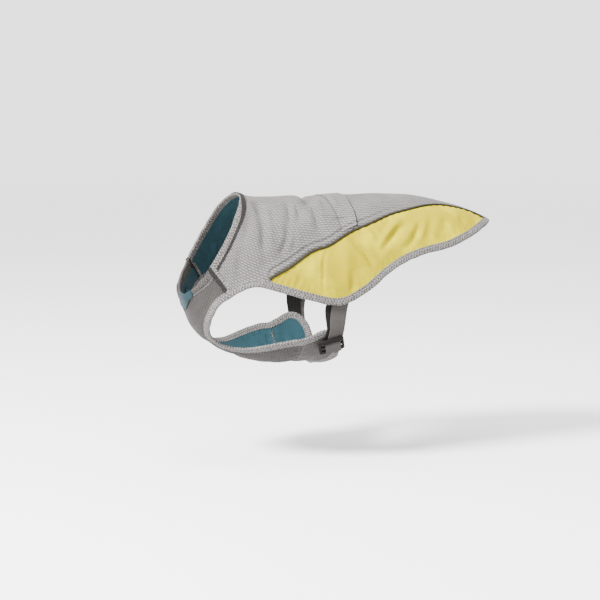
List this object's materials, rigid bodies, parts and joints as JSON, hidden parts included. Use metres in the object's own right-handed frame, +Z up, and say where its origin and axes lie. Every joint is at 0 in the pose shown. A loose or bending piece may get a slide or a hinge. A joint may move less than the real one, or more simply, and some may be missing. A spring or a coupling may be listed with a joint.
{
  "type": "dog cooling vest",
  "caption": "Hollow dog cooling vest in its worn form: grey knit back with yellow side panels and dark piping, bound chest piece with teal lining, webbing straps and sliders.",
  "frame": {"origin": "inner face of the back panel on the spine at the withers, where the wearer's back carries the vest", "axes": "-X points forward to the neck opening and +X to the tail, +Z is up, -Y is the wearer's left side and +Y the right side; the vest is symmetric about the XZ plane"},
  "size_m": [0.386, 0.1804, 0.2075],
  "materials": {
    "mesh_knit": "matt light grey mesh knit with a slight sheen on its ribs",
    "ripstop": "bright yellow woven nylon with a soft sheen",
    "binding": "grey woven binding with lighter flecks",
    "piping": "matt dark corded piping",
    "hook_tape": "matt dark hook-and-loop tape",
    "chest_knit": "matt mid grey knit",
    "lining": "matt teal mesh lining",
    "webbing": "grey woven webbing",
    "dark_webbing": "matt black webbing",
    "slider_plastic": "dark brown moulded plastic",
    "label": "teal woven label without lettering"
  },
  "bodies": {
    "root": {"back_panel": "mesh_knit", "back_band": "mesh_knit", "hem_binding": "binding", "chest_binding": "binding", "neck_binding_back": "binding", "neck_binding_front": "binding", "chest_panel": "chest_knit", "belly_panel": "chest_knit", "chest_lining": "lining", "front_label": "label", "side_panel_left": "ripstop", "piping_left": "piping", "shoulder_binding_left": "binding", "shoulder_tape_left": "hook_tape", "strap_left": "webbing", "strap_under_left": "dark_webbing", "slider_left": "slider_plastic", "slider_loop_left": "webbing", "side_panel_right": "ripstop", "piping_right": "piping", "shoulder_binding_right": "binding", "shoulder_tape_right": "hook_tape", "strap_right": "webbing", "strap_under_right": "dark_webbing", "slider_right": "slider_plastic", "slider_loop_right": "webbing"}
  },
  "joints": []
}
